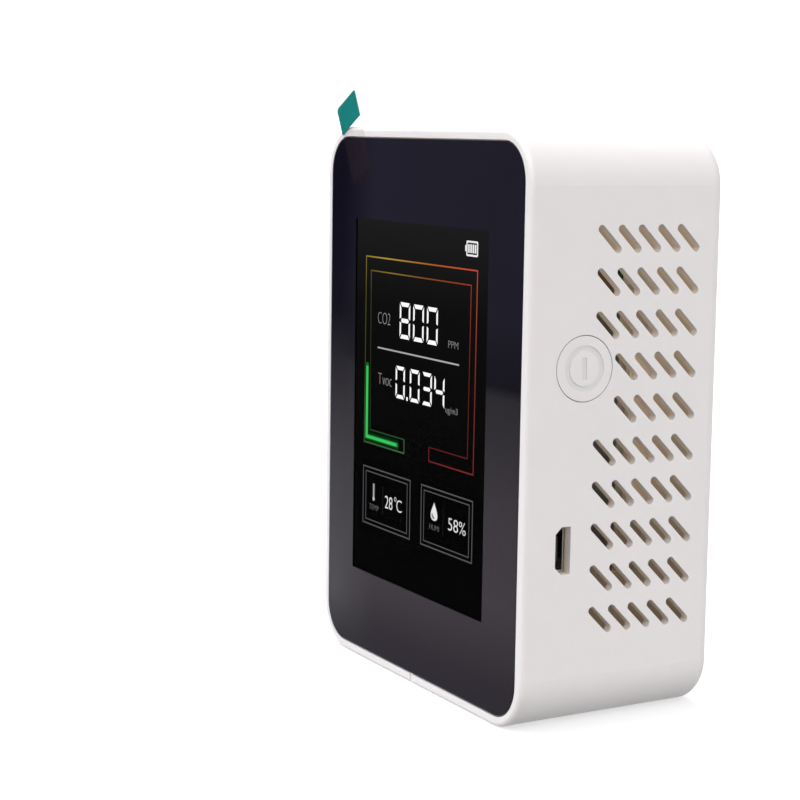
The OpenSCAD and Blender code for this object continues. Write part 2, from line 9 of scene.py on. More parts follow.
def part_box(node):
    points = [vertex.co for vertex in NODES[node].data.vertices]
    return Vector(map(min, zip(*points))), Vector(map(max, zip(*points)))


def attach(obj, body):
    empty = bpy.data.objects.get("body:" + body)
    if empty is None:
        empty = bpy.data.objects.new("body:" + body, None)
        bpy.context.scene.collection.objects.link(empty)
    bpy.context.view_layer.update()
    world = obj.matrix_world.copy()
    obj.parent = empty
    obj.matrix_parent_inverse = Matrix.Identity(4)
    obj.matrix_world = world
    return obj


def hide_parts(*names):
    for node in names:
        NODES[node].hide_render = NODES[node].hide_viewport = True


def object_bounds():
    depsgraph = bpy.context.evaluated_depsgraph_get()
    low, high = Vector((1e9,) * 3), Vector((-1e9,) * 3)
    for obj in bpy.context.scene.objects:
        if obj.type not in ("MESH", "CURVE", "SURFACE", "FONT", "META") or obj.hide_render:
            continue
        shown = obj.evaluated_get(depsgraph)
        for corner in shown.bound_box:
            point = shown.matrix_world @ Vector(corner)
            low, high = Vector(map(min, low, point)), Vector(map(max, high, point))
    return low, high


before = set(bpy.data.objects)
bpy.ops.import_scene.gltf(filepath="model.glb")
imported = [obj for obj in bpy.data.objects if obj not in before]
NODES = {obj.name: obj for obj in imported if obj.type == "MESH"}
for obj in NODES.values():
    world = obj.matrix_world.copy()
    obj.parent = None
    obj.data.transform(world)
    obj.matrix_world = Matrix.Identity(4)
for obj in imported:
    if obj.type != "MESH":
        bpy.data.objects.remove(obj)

CAD_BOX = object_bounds()
MM = 0.001
UM = 0.000001

# The case stands on its drafted bottom face, so everything in it leans back by the draft.
LEAN = math.radians(1.146)
CASE_HEIGHT = 97.8 * MM
CASE_DEPTH = 38.2 * MM
CORNER_R = 9 * MM

# The lens and what lies on and just behind it, in mm; a depth is measured back from the lens front.
LENS_T = 0.8
LENS_R = 6.5
LENS_BEVEL = 0.12
WINDOW = (47.9, 64.8)
FILM_DEPTH = (-0.097, -0.01)
FILM_INSET = 0.3
PICTURE_DEPTH = (0.86, 0.872)
PICTURE_SHIFT = (-0.64, 0, 0.08)
PICTURE_SCALE = (0.988, 1, 0.989, 1)

# Place in metres, turn in degrees, lens and sensor in mm.
CAMERA_PLACE = (0.306746, -0.184124, 0.100721)
CAMERA_TURN = (81.8514, 0.2038, 62.1678)
CAMERA_LENS = 91.107
CAMERA_SENSOR = 36


# ---------------------------------------------------------------- places

def middle(node):
    low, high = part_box(node)
    return (low + high) / 2


def seat(node):
    """The middle of a CAD node, leaning with the case: x right, y into the case, z up."""
    return Matrix.Translation(middle(node)) @ Matrix.Rotation(-LEAN, 4, "X")


def leaning_size(node):
    """A boxy node's width, depth and height in its own leaning axes, in mm."""
    low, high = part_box(node)
    width, deep, tall = (high - low) / MM
    c, s = math.cos(LEAN), math.sin(LEAN)
    share = c * c - s * s
    return width, (deep * c - tall * s) / share, (tall * c - deep * s) / share


# The middle of the lens front, and the middle of the picture on the display behind it.
FACE = seat("front_lens") @ Matrix.Translation((0, -LENS_T / 2 * MM, 0))
SCREEN_MIDDLE = FACE.inverted() @ middle("lcd_polariser") / MM
SCREEN = FACE @ Matrix.Translation((SCREEN_MIDDLE.x * MM, 0, SCREEN_MIDDLE.z * MM))

# The picture is drawn a little smaller than its own units, and a little off the display's middle.
PICTURE = SCREEN @ Matrix.Translation(Vector(PICTURE_SHIFT) * MM) @ Matrix.Diagonal(PICTURE_SCALE)


# ---------------------------------------------------------------- material helpers

def shader(name):
    """A new node material: the material, its tree and its Principled shader."""
    mat = bpy.data.materials.new(name)
    mat.use_nodes = True
    return mat, mat.node_tree, mat.node_tree.nodes["Principled BSDF"]


def link(tree, a, b):
    tree.links.new(a, b)


def object_coords(tree, stretch=(1, 1, 1)):
    coords = tree.nodes.new("ShaderNodeTexCoord")
    if stretch == (1, 1, 1):
        return coords.outputs["Object"]
    mapping = tree.nodes.new("ShaderNodeMapping")
    mapping.inputs["Scale"].default_value = stretch
    link(tree, coords.outputs["Object"], mapping.inputs["Vector"])
    return mapping.outputs["Vector"]


def axes_of(tree, vector):
    """A vector's three shares, by axis."""
    split = tree.nodes.new("ShaderNodeSeparateXYZ")
    link(tree, vector, split.inputs[0])
    return split.outputs


def height_in(tree):
    """A point's height above the floor, since every mesh's origin lies on it."""
    return axes_of(tree, object_coords(tree))["Z"]


def noise(tree, size_mm, stretch=(1, 1, 1), detail=3.0):
    """Noise from 0 to 1 whose lumps are about size_mm across."""
    tex = tree.nodes.new("ShaderNodeTexNoise")
    tex.inputs["Scale"].default_value = 1 / (size_mm * MM)
    tex.inputs["Detail"].default_value = detail
    link(tree, object_coords(tree, stretch), tex.inputs["Vector"])
    return tex.outputs["Fac"]


def math_node(tree, operation, a, b=None, clamp=False):
    node = tree.nodes.new("ShaderNodeMath")
    node.operation = operation
    node.use_clamp = clamp
    for socket, value in zip(node.inputs, (a, b)):
        if isinstance(value, (int, float)):
            socket.default_value = value
        elif value is not None:
            link(tree, value, socket)
    return node.outputs[0]


def ramp(tree, factor, stops):
    """A colour ramp: stops are (position, (r, g, b))."""
    node = tree.nodes.new("ShaderNodeValToRGB")
    elements = node.color_ramp.elements
    while len(elements) < len(stops):
        elements.new(0.5)
    for element, (position, colour) in zip(elements, stops):
        element.position = position
        element.color = (*colour, 1)
    link(tree, factor, node.inputs["Fac"])
    return node.outputs["Color"]


def spread(tree, factor, low, high, start=0.3, end=0.7):
    """Maps a factor from start to end onto low to high."""
    node = tree.nodes.new("ShaderNodeMapRange")
    link(tree, factor, node.inputs["Value"])
    node.inputs["From Min"].default_value = start
    node.inputs["From Max"].default_value = end
    node.inputs["To Min"].default_value = low
    node.inputs["To Max"].default_value = high
    return node.outputs["Result"]


def mix(tree, factor, a, b):
    """Mixes two colours; a and b are sockets or (r, g, b)."""
    node = tree.nodes.new("ShaderNodeMix")
    node.data_type = "RGBA"
    colours = [s for s in node.inputs if s.type == "RGBA"]
    for socket, value in zip(colours, (a, b)):
        if isinstance(value, tuple):
            socket.default_value = (*value, 1)
        else:
            link(tree, value, socket)
    if isinstance(factor, (int, float)):
        node.inputs[0].default_value = factor
    else:
        link(tree, factor, node.inputs[0])
    return next(s for s in node.outputs if s.type == "RGBA")


def grey(level):
    return level, level, level


def shade(colour, share):
    """A darker or lighter colour, held to 1."""
    return tuple(min(1.0, c * share) for c in colour)


def grain_bump(tree, bsdf, height, depth_um, strength=1.0):
    node = tree.nodes.new("ShaderNodeBump")
    node.inputs["Strength"].default_value = strength
    node.inputs["Distance"].default_value = depth_um * UM
    link(tree, height, node.inputs["Height"])
    link(tree, node.outputs["Normal"], bsdf.inputs["Normal"])


def surface(name, colour, rough, vary=0.05, patch_mm=6, grain_mm=0.4, bump_um=4, stretch=(1, 1, 1),
            **fixed):
    """A worked surface: patchy colour, uneven roughness and a fine grain; fixed sets shader sockets."""
    mat, tree, bsdf = shader(name)
    patches = noise(tree, patch_mm)
    grain = noise(tree, grain_mm, stretch, 4)
    tint = ramp(tree, patches, [(0.3, shade(colour, 1 - vary)), (0.7, shade(colour, 1 + vary))])
    link(tree, tint, bsdf.inputs["Base Color"])
    link(tree, spread(tree, grain, max(0.02, rough - 0.06), rough + 0.06), bsdf.inputs["Roughness"])
    if bump_um:
        grain_bump(tree, bsdf, grain, bump_um)
    for socket, value in fixed.items():
        bsdf.inputs[socket.replace("_", " ")].default_value = value
    return mat


# ---------------------------------------------------------------- the case and what it holds

ABS = (0.77, 0.733, 0.727)
# Painted shade: the darker, warmer colour given to the case's inner faces, where they lie in shade.
ABS_PAINTED_SHADE = (0.66, 0.54, 0.42)

# How far below the case's faces its painted inner shade and glow begin and are full.
SKIN = 0.2 * MM
WALL = 2.2 * MM
FRONT_SKIN = 2 * MM
BACK_SKIN = 1.2 * MM

# A painted glow on the walls' inner side stands in for light that soaks through them, warmed by the plastic,
# less lower down.
PAINTED_INSIDE_GLOW = (0.19, 0.15, 0.107)
PAINTED_GLOW_SHARE = (0.3, 1.0)
PAINTED_GLOW_HEIGHTS = (16 * MM, 80 * MM)

# The button's symbol: a ring and a bar, both of the same line.
SYMBOL_GREY = (0.69, 0.672, 0.665)
SYMBOL_RING_R = 3.295 * MM
SYMBOL_HALF_LINE = 0.45 * MM
SYMBOL_HALF_BAR = 1.8 * MM


def abs_patches(tree, factor):
    return ramp(tree, factor, [(0.3, shade(ABS, 0.985)), (0.7, shade(ABS, 1.01))])


def abs_depth(bsdf):
    """Light soaks a little way into the white plastic."""
    bsdf.inputs["Subsurface Weight"].default_value = 0.25
    bsdf.inputs["Subsurface Radius"].default_value = (1.0, 0.75, 0.55)
    bsdf.inputs["Subsurface Scale"].default_value = 0.9 * MM


def case_white():
    """Warm white ABS: a fine spark-eroded grain, faint flow patches, light that soaks in a little, and
    painted shade and a painted glow on the inner faces.
    """
    mat, tree, bsdf = shader("case_white")
    grain = noise(tree, 0.28, detail=2)
    broad = abs_patches(tree, noise(tree, 22, (1, 1, 0.6), 2))
    fine = abs_patches(tree, noise(tree, 3.5, detail=2))
    outside = mix(tree, 0.5, broad, fine)
    inside = painted_inside_share(tree)
    # Painted shade: the inner faces take a darker, warmer colour.
    link(tree, mix(tree, inside, outside, ABS_PAINTED_SHADE), bsdf.inputs["Base Color"])
    # Painted glow on the inner faces, weaker lower down.
    fade = spread(tree, height_in(tree), *PAINTED_GLOW_SHARE, *PAINTED_GLOW_HEIGHTS)
    painted_glow = math_node(tree, "MULTIPLY", inside, fade)
    link(tree, mix(tree, painted_glow, (0.0, 0.0, 0.0), PAINTED_INSIDE_GLOW), bsdf.inputs["Emission Color"])
    bsdf.inputs["Emission Strength"].default_value = 1.0
    link(tree, spread(tree, grain, 0.40, 0.52), bsdf.inputs["Roughness"])
    grain_bump(tree, bsdf, grain, 5)
    abs_depth(bsdf)
    return mat


def painted_inside_share(tree):
    """0 on the outside of the case and 1 deeper than its walls, where the plastic gets painted shade and a
    painted glow.
    """
    low, high = CAD_BOX
    lean = tree.nodes.new("ShaderNodeMapping")
    lean.vector_type = "TEXTURE"
    lean.inputs["Location"].default_value = FACE.translation
    lean.inputs["Rotation"].default_value = (-LEAN, 0, 0)
    link(tree, object_coords(tree), lean.inputs["Vector"])
    place = axes_of(tree, lean.outputs["Vector"])
    depth = place["Y"]
    drafted = math_node(tree, "MULTIPLY", depth, math.tan(LEAN))
    beyond = []
    for axis, half in (("X", (high.x - low.x) / 2), ("Z", CASE_HEIGHT / 2)):
        reach = math_node(tree, "ADD", math_node(tree, "ABSOLUTE", place[axis]), drafted)
        beyond.append(math_node(tree, "SUBTRACT", reach, half - CORNER_R))
    squares = []
    for value in beyond:
        past = math_node(tree, "MAXIMUM", value, 0.0)
        squares.append(math_node(tree, "MULTIPLY", past, past))
    round_part = math_node(tree, "POWER", math_node(tree, "ADD", *squares), 0.5)
    flat_part = math_node(tree, "MINIMUM", math_node(tree, "MAXIMUM", *beyond), 0.0)
    out = math_node(tree, "ADD", round_part, flat_part)
    inside = spread(tree, out, 1.0, 0.0, CORNER_R - WALL, CORNER_R - SKIN)
    behind_front = math_node(tree, "GREATER_THAN", depth, FRONT_SKIN)
    before_back = math_node(tree, "LESS_THAN", depth, CASE_DEPTH - BACK_SKIN)
    return math_node(tree, "MULTIPLY", math_node(tree, "MULTIPLY", inside, behind_front), before_back)


def button_white():
    """The same ABS, with the sunk ring and bar of its symbol in pale grey."""
    mat, tree, bsdf = shader("button_white")
    grain = noise(tree, 0.28, detail=2)
    cap = abs_patches(tree, noise(tree, 3.5, detail=2))
    centre = middle("power_button")
    place = axes_of(tree, object_coords(tree))
    dy = math_node(tree, "SUBTRACT", place["Y"], centre.y)
    dz = math_node(tree, "SUBTRACT", place["Z"], centre.z)
    squares = (math_node(tree, "MULTIPLY", d, d) for d in (dy, dz))
    out = math_node(tree, "POWER", math_node(tree, "ADD", *squares), 0.5)
    off_ring = math_node(tree, "ABSOLUTE", math_node(tree, "SUBTRACT", out, SYMBOL_RING_R))
    ring = math_node(tree, "LESS_THAN", off_ring, SYMBOL_HALF_LINE)
    narrow = math_node(tree, "LESS_THAN", math_node(tree, "ABSOLUTE", dy), SYMBOL_HALF_LINE)
    short = math_node(tree, "LESS_THAN", math_node(tree, "ABSOLUTE", dz), SYMBOL_HALF_BAR)
    symbol = math_node(tree, "MAXIMUM", ring, math_node(tree, "MULTIPLY", narrow, short))
    link(tree, mix(tree, symbol, cap, SYMBOL_GREY), bsdf.inputs["Base Color"])
    link(tree, spread(tree, grain, 0.36, 0.48), bsdf.inputs["Roughness"])
    grain_bump(tree, bsdf, grain, 4)
    abs_depth(bsdf)
    return mat


def board(name, colour):
    """Solder mask over copper: tracks under it lie a little lighter, and pads show through."""
    mat, tree, bsdf = shader(name)
    tracks = tree.nodes.new("ShaderNodeTexBrick")
    tracks.inputs["Scale"].default_value = 260
    tracks.inputs["Mortar Size"].default_value = 0.03
    tracks.inputs["Color1"].default_value = (*colour, 1)
    tracks.inputs["Color2"].default_value = (*shade(colour, 1.15), 1)
    tracks.inputs["Mortar"].default_value = (*shade(colour, 1.9), 1)
    coords = tree.nodes.new("ShaderNodeMapping")
    coords.inputs["Rotation"].default_value = (math.radians(90), 0, 0)
    link(tree, object_coords(tree), coords.inputs["Vector"])
    link(tree, coords.outputs["Vector"], tracks.inputs["Vector"])
    link(tree, tracks.outputs["Color"], bsdf.inputs["Base Color"])
    link(tree, spread(tree, noise(tree, 0.8), 0.22, 0.36), bsdf.inputs["Roughness"])
    grain_bump(tree, bsdf, tracks.outputs["Fac"], -12)
    return mat


def pull_tab_teal():
    """Printed polyester: an even teal with fine fibres across it."""
    mat, tree, bsdf = shader("pull_tab_teal")
    fibres = noise(tree, 0.5, (0.25, 1, 1.6), 5)
    colour = ramp(tree, fibres, [(0.3, (0.002, 0.165, 0.148)), (0.7, (0.004, 0.195, 0.175))])
    link(tree, colour, bsdf.inputs["Base Color"])
    link(tree, spread(tree, fibres, 0.34, 0.5), bsdf.inputs["Roughness"])
    bsdf.inputs["Specular IOR Level"].default_value = 0.12
    grain_bump(tree, bsdf, fibres, 3)
    return mat


def see_through(name, colour, alpha, rough):
    """A thin clear skin that shows faintly, by its gloss and a slight tint."""
    mat, tree, bsdf = shader(name)
    haze = noise(tree, 5, detail=4)
    link(tree, ramp(tree, haze, [(0.3, shade(colour, 0.9)), (0.7, colour)]), bsdf.inputs["Base Color"])
    link(tree, spread(tree, haze, rough, rough + 0.1), bsdf.inputs["Roughness"])
    bsdf.inputs["Alpha"].default_value = alpha
    bsdf.inputs["Specular IOR Level"].default_value = 0.2
    return mat


def display_black():
    """The display's front polariser: nearly black, with a faint tooth and some backlight at the top."""
    mat, tree, bsdf = shader("display_black")
    tooth = noise(tree, 0.05, detail=1)
    tint = ramp(tree, noise(tree, 30, detail=1), [(0.3, grey(0.0001)), (0.7, (0.0003, 0.0003, 0.0002))])
    link(tree, tint, bsdf.inputs["Base Color"])
    link(tree, spread(tree, tooth, 0.28, 0.4), bsdf.inputs["Roughness"])
    grain_bump(tree, bsdf, tooth, 0.5)
    low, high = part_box("lcd_polariser")
    height = spread(tree, height_in(tree), 0, 1, low.z, high.z)
    bleeding = ramp(tree, height, [(0.3, grey(0.0009)), (0.75, grey(0.0045)), (1.0, grey(0.014))])
    link(tree, bleeding, bsdf.inputs["Emission Color"])
    bsdf.inputs["Emission Strength"].default_value = 1.0
    bsdf.inputs["Specular IOR Level"].default_value = 0.0
    return mat


def ink_behind_lens():
    """Black ink seen through polished acrylic: deep, glossy, with the lightest handling haze."""
    mat, tree, bsdf = shader("ink_behind_lens")
    haze = noise(tree, 18, detail=4)
    link(tree, ramp(tree, haze, [(0.3, (0.0022, 0.0021, 0.003)), (0.7, (0.0034, 0.0032, 0.0045))]),
         bsdf.inputs["Base Color"])
    link(tree, spread(tree, haze, 0.02, 0.05), bsdf.inputs["Roughness"])
    grain_bump(tree, bsdf, noise(tree, 9, detail=1), 0.25)
    bsdf.inputs["IOR"].default_value = 1.49
    return mat


def lens_window():
    """Coated clear acrylic over the display: it bends what is behind it and mirrors nothing."""
    mat, tree, bsdf = shader("lens_window")
    tree.nodes.remove(bsdf)
    clear = tree.nodes.new("ShaderNodeBsdfRefraction")
    link(tree, ramp(tree, noise(tree, 18, detail=4), [(0.3, (0.95, 0.955, 0.96)), (0.7, (0.98, 0.98, 0.98))]),
         clear.inputs["Color"])
    clear.inputs["Roughness"].default_value = 0.0
    clear.inputs["IOR"].default_value = 1.49
    link(tree, clear.outputs[0], tree.nodes["Material Output"].inputs["Surface"])
    return mat


def steel(name, colour, rough, brushed=(1, 1, 1)):
    return surface(name, colour, rough, vary=0.06, patch_mm=3, grain_mm=0.3, bump_um=1.5, stretch=brushed,
                   Metallic=1.0)


FINISHES = {
    "case_white": case_white,
    "frame_grey": lambda: surface("frame_grey", (0.022, 0.022, 0.024), 0.5, bump_um=6),
    "screw_steel": lambda: steel("screw_steel", (0.55, 0.55, 0.57), 0.32),
    "lens_clear": lens_window,
    "mask_black": ink_behind_lens,
    "tape_black": lambda: surface("tape_black", (0.02, 0.02, 0.02), 0.75, grain_mm=0.15, bump_um=15),
    "film_clear": lambda: see_through("film_clear", (0.015, 0.015, 0.017), 0.015, 0.1),
    "tab_teal": pull_tab_teal,
    "strip_clear": lambda: see_through("strip_clear", (0.1, 0.05, 0.04), 0.045, 0.15),
    "switch_black": lambda: surface("switch_black", (0.02, 0.02, 0.022), 0.45),
    "plunger_black": lambda: surface("plunger_black", (0.016, 0.016, 0.016), 0.4),
    "tin_plate": lambda: steel("tin_plate", (0.75, 0.75, 0.77), 0.28),
    "shell_steel": lambda: steel("shell_steel", (0.58, 0.57, 0.56), 0.22, (0.15, 1, 1)),
    "socket_black": lambda: surface("socket_black", (0.012, 0.012, 0.012), 0.4, grain_mm=0.2, bump_um=3),
    "contact_gold": lambda: steel("contact_gold", (0.86, 0.62, 0.24), 0.2, (0.2, 1, 1)),
    "pcb_green": lambda: board("pcb_green", (0.004, 0.075, 0.025)),
    "backlight_steel": lambda: steel("backlight_steel", (0.72, 0.72, 0.74), 0.3, (1, 1, 0.1)),
    "lcd_glass": lambda: surface("lcd_glass", (0.01, 0.011, 0.013), 0.12, bump_um=0.5),
    "lcd_polariser": display_black,
    "flex_amber": lambda: surface("flex_amber", (0.45, 0.16, 0.02), 0.3, vary=0.15, stretch=(1, 0.2, 0.2)),
    "connector_ivory": lambda: surface("connector_ivory", (0.78, 0.74, 0.6), 0.42, grain_mm=0.25),
    "foam_black": lambda: surface("foam_black", (0.018, 0.018, 0.018), 0.85, grain_mm=0.25, bump_um=60),
    "chip_black": lambda: surface("chip_black", (0.016, 0.016, 0.017), 0.6, grain_mm=0.1, bump_um=5),
    "ferrite_grey": lambda: surface("ferrite_grey", (0.035, 0.035, 0.037), 0.65, vary=0.12, bump_um=12),
    "can_steel": lambda: steel("can_steel", (0.8, 0.8, 0.82), 0.2),
    "ceramic_tan": lambda: surface("ceramic_tan", (0.48, 0.32, 0.15), 0.5, vary=0.1, patch_mm=1),
    "pcb_blue": lambda: board("pcb_blue", (0.006, 0.02, 0.13)),
    "mesh_steel": lambda: steel("mesh_steel", (0.5, 0.5, 0.51), 0.35),
    "sensor_white": lambda: surface("sensor_white", (0.78, 0.78, 0.77), 0.4, grain_mm=0.15, bump_um=2),
    "cell_foil": lambda: steel("cell_foil", (0.72, 0.68, 0.64), 0.36, (1, 1, 0.3)),
    "tape_amber": lambda: surface("tape_amber", (0.62, 0.44, 0.25), 0.3, vary=0.1, bump_um=5),
    "pad_white": lambda: surface("pad_white", (0.72, 0.72, 0.7), 0.85, grain_mm=0.3, bump_um=50),
    "lead_red": lambda: surface("lead_red", (0.52, 0.006, 0.004), 0.38, grain_mm=0.8),
    "lead_black": lambda: surface("lead_black", (0.012, 0.012, 0.012), 0.38, grain_mm=0.8),
}
OWN_FINISH = {"power_button": button_white}


def finish_cad_nodes():
    """Gives each CAD node the finish of its slot, or its own."""
    made = {}
    for name, obj in NODES.items():
        slot = obj.data.materials[0].name
        key = name if name in OWN_FINISH else slot
        if key not in made:
            made[key] = OWN_FINISH[name]() if name in OWN_FINISH else FINISHES[slot]()
        obj.data.materials[0] = made[key]
    return made


# ---------------------------------------------------------------- mesh helpers

def add_mesh(name, bm, materials):
    """Makes a mesh object from bm, whose points are in metres."""
    mesh = bpy.data.meshes.new(name)
    bm.to_mesh(mesh)
    bm.free()
    for mat in materials:
        mesh.materials.append(mat)
    obj = bpy.data.objects.new(name, mesh)
    bpy.context.scene.collection.objects.link(obj)
    return obj


def new_object(name, bm, materials, place):
    """Makes a mesh object from bm, whose points are in mm in place's axes, with the object at the origin."""
    bmesh.ops.recalc_face_normals(bm, faces=bm.faces)
    bm.transform(place @ Matrix.Scale(MM, 4))
    return add_mesh(name, bm, materials)


def moved(points, x, z):
    return [(px + x, pz + z) for px, pz in points]


def prism(bm, outline, depth, material=0):
    """A closed prism: an outline of (x, z) points between two depths."""
    front, back = ([bm.verts.new((x, y, z)) for x, z in outline] for y in depth)
    faces = [bm.faces.new(front), bm.faces.new(back)]
    count = len(outline)
    for i in range(count):
        j = (i + 1) % count
        faces.append(bm.faces.new((front[i], front[j], back[j], back[i])))
    for face in faces:
        face.material_index = material


def ring_prism(bm, outer, inner, depth, material=0):
    """A closed prism with a hole: two outlines with the same number of points."""
    loops = [[bm.verts.new((x, y, z)) for x, z in line] for y in depth for line in (outer, inner)]
    outer_front, inner_front, outer_back, inner_back = loops
    count = len(outer)
    for a, b in ((outer_front, inner_front), (outer_back, inner_back),
                 (outer_front, outer_back), (inner_front, inner_back)):
        for i in range(count):
            j = (i + 1) % count
            bm.faces.new((a[i], a[j], b[j], b[i])).material_index = material


def offset_line(points, distance, closed):
    """A line moved sideways by distance, with mitred corners."""
    shifted = []
    count = len(points)
    for i, (x, z) in enumerate(points):
        sides = []
        if closed or i > 0:
            sides.append((points[i - 1], points[i]))
        if closed or i < count - 1:
            sides.append((points[i], points[(i + 1) % count]))
        normals = []
        for (x0, z0), (x1, z1) in sides:
            length = math.hypot(x1 - x0, z1 - z0)
            normals.append(((z0 - z1) / length, (x1 - x0) / length))
        nx = sum(n[0] for n in normals)
        nz = sum(n[1] for n in normals)
        scale = distance * len(normals) / (nx * nx + nz * nz)
        shifted.append((x + nx * scale, z + nz * scale))
    return shifted


def stroke(bm, points, width, depth, closed=False, material=0):
    """A flat line of the given width along points."""
    left, right = (offset_line(points, side * width / 2, closed) for side in (1, -1))
    if closed:
        ring_prism(bm, left, right, depth, material)
    else:
        prism(bm, left + right[::-1], depth, material)


def arc(cx, cz, radius, start, end, steps):
    """Points on an arc, in degrees anticlockwise from +x."""
    turns = [math.radians(start + (end - start) * i / steps) for i in range(steps + 1)]
    return [(cx + radius * math.cos(t), cz + radius * math.sin(t)) for t in turns]


def rounded_outline(width, height, radius, steps=24):
    """A rectangle round the origin with rounded corners, of steps to a corner."""
    points = []
    for sx, sz, start in ((1, 1, 0), (-1, 1, 90), (-1, -1, 180), (1, -1, 270)):
        points += arc(sx * (width / 2 - radius), sz * (height / 2 - radius), radius, start, start + 90, steps)
    return points


def rectangle(x0, z0, x1, z1):
    return [(x0, z0), (x1, z0), (x1, z1), (x0, z1)]


# ---------------------------------------------------------------- the lens and the film

INK, PANE = 0, 1


def lens_outline(inset):
    """The lens's outline, drawn in by inset."""
    width, _, height = leaning_size("front_lens")
    return rounded_outline(width - 2 * inset, height - 2 * inset, LENS_R - inset)


def plate_with_window(bm, outline, window, y):
    """A flat face of ink with a rectangular clear pane set in it."""
    outer, inner = ([bm.verts.new((x, y, z)) for x, z in line] for line in (outline, window))
    edges = [bm.edges.new((line[i], line[(i + 1) % len(line)]))
             for line in (outer, inner) for i in range(len(line))]
    made = bmesh.ops.triangle_fill(bm, use_beauty=True, use_dissolve=False, edges=edges)
    for face in (g for g in made["geom"] if isinstance(g, bmesh.types.BMFace)):
        face.material_index = INK
    bm.faces.new(inner).material_index = PANE
    return outer


def lens_panel(finishes):
    """The acrylic lens with black ink behind its border: an eased front edge and a clear window."""
    half_w, half_h = WINDOW[0] / 2, WINDOW[1] / 2
    cx, cz = SCREEN_MIDDLE.x, SCREEN_MIDDLE.z
    window = rectangle(cx - half_w, cz - half_h, cx + half_w, cz + half_h)
    bm = bmesh.new()
    front = plate_with_window(bm, lens_outline(LENS_BEVEL), window, 0)
    back = plate_with_window(bm, lens_outline(0), window, LENS_T)
    eased = []
    for share in (0.3, 0.65, 1.0):
        turn = share * math.pi / 2
        inset = LENS_BEVEL * (1 - math.sin(turn))
        y = LENS_BEVEL * (1 - math.cos(turn))
        eased.append([bm.verts.new((x, y, z)) for x, z in lens_outline(inset)])
    loops = [front, *eased, back]
    for a, b in zip(loops, loops[1:]):
        for i in range(len(a)):
            j = (i + 1) % len(a)
            face = bm.faces.new((a[i], a[j], b[j], b[i]))
            face.material_index = INK
            face.smooth = True
    panel = new_object("lens_panel", bm, [finishes["mask_black"], finishes["lens_clear"]], FACE)
    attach(panel, "case")
    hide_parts("front_lens", "lens_black_mask")


def film_sheet(finishes):
    """The factory film over the lens, a thin sheet that stops just short of the lens's edge."""
    bm = bmesh.new()
    prism(bm, lens_outline(FILM_INSET), FILM_DEPTH)
    film = new_object("film_sheet", bm, [finishes["film_clear"]], FACE)
    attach(film, "case")
    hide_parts("protective_film")


# ---------------------------------------------------------------- the picture on the display

# The picture's own units are mm from the display's middle, x to the right and z up.
GREEN = (0.045, 0.64, 0.125)
GAUGE_MIDDLE = (0.3, 0, 9)
GAUGE_OUTER = [(-4.35, -6.02), (-4.35, -8.5), (-20.05, -8.5), (-20.0, 25.85), (20.7, 25.85), (20.45, -8.5),
               (4.9, -8.5), (4.9, -6.05)]
GAUGE_INNER = [(-4.35, -6.02), (-17.75, -6.02), (-18.0, 23.35), (18.7, 23.3), (18.4, -6.05), (4.9, -6.05)]
GAUGE_LINES = (0.25, 0.21)

# The gauge's colours round its middle, from straight below it and clockwise.
GAUGE_COLOURS = [(0.0, (0.05, 0.16, 0.07)), (0.14, (0.05, 0.13, 0.04)), (0.22, (0.05, 0.06, 0.015)),
                 (0.33, (0.11, 0.1, 0.02)), (0.4, (0.5, 0.33, 0.05)), (0.48, (0.42, 0.19, 0.03)),
                 (0.56, (0.48, 0.11, 0.02)), (0.64, (0.58, 0.08, 0.035)), (0.75, (0.27, 0.035, 0.025)),
                 (1.0, (0.13, 0.012, 0.022))]

# The level bar, and the line, width and depth of the glow that leaks round it.
BAR = [(-19.55, 5.7), (-19.55, -7.72), (-7.25, -7.72), (-7.25, -7.12), (-18.7, -7.12), (-18.7, 5.7)]
GLOW_LINE = [(-19.12, 6.3), (-19.12, -7.42), (-6.6, -7.42)]
GLOW_WIDTH = 2.6
GLOW_DEPTH = (PICTURE_DEPTH[1] + 0.004, PICTURE_DEPTH[1] + 0.012)

# Boxes as left, foot, right and top: two nested ones round each small reading.
READING_BOXES = (((-20.2, -23.65, -1.8, -13.05), (-19.1, -22.85, -2.9, -13.85)),
                 ((2.4, -23.65, 20.5, -13.05), (3.4, -22.85, 19.4, -13.85)))
BOX_LINES = (0.26, 0.2)

# Each label's text, left, right, foot, top, stroke weight and light.
LABELS = (
    ("CO2", -15.1, -10.3, 13.9, 16.0, -0.03, "label_light"),
    ("PPM", 11.2, 14.6, 12.1, 13.3, -0.022, "unit_light"),
    ("T", -14.8, -13.3, 2.9, 4.9, -0.02, "warm_label_light"),
    ("voc", -13.0, -9.4, 2.9, 4.25, -0.024, "label_light"),
    ("ug/m3", 10.6, 14.8, 0.5, 1.95, -0.012, "unit_light"),
    ("TEMP", -17.7, -13.9, -20.75, -19.8, -0.012, "faint_label_light"),
    ("HUMI", 5.5, 9.0, -20.4, -19.45, -0.012, "faint_label_light"),
    ("28", -11.4, -8.5, -19.6, -17.3, -0.012, "value_light"),
    ("°", -7.8, -6.95, -17.8, -17.0, -0.012, "value_light"),
    ("C", -6.9, -4.9, -19.5, -17.3, -0.012, "value_light"),
    ("58%", 12.2, 18.3, -19.4, -17.2, -0.012, "value_light"),
)
LABEL_LIGHTS = {
    "label_light": (0.4, 0.4, 0.41),
    "unit_light": (0.3, 0.3, 0.31),
    "warm_label_light": (0.36, 0.24, 0.23),
    "faint_label_light": (0.14, 0.14, 0.143),
    "value_light": (0.95, 0.95, 0.96),
}


def glowing(name, power=1.0):
    """A matt black that only gives light: the material, its tree and the socket for its light's colour."""
    mat, tree, bsdf = shader(name)
    bsdf.inputs["Base Color"].default_value = (0, 0, 0, 1)
    bsdf.inputs["Specular IOR Level"].default_value = 0.0
    bsdf.inputs["Roughness"].default_value = 0.6
    bsdf.inputs["Emission Strength"].default_value = power
    mat.cycles.emission_sampling = "NONE"
    return mat, tree, bsdf.inputs["Emission Color"]


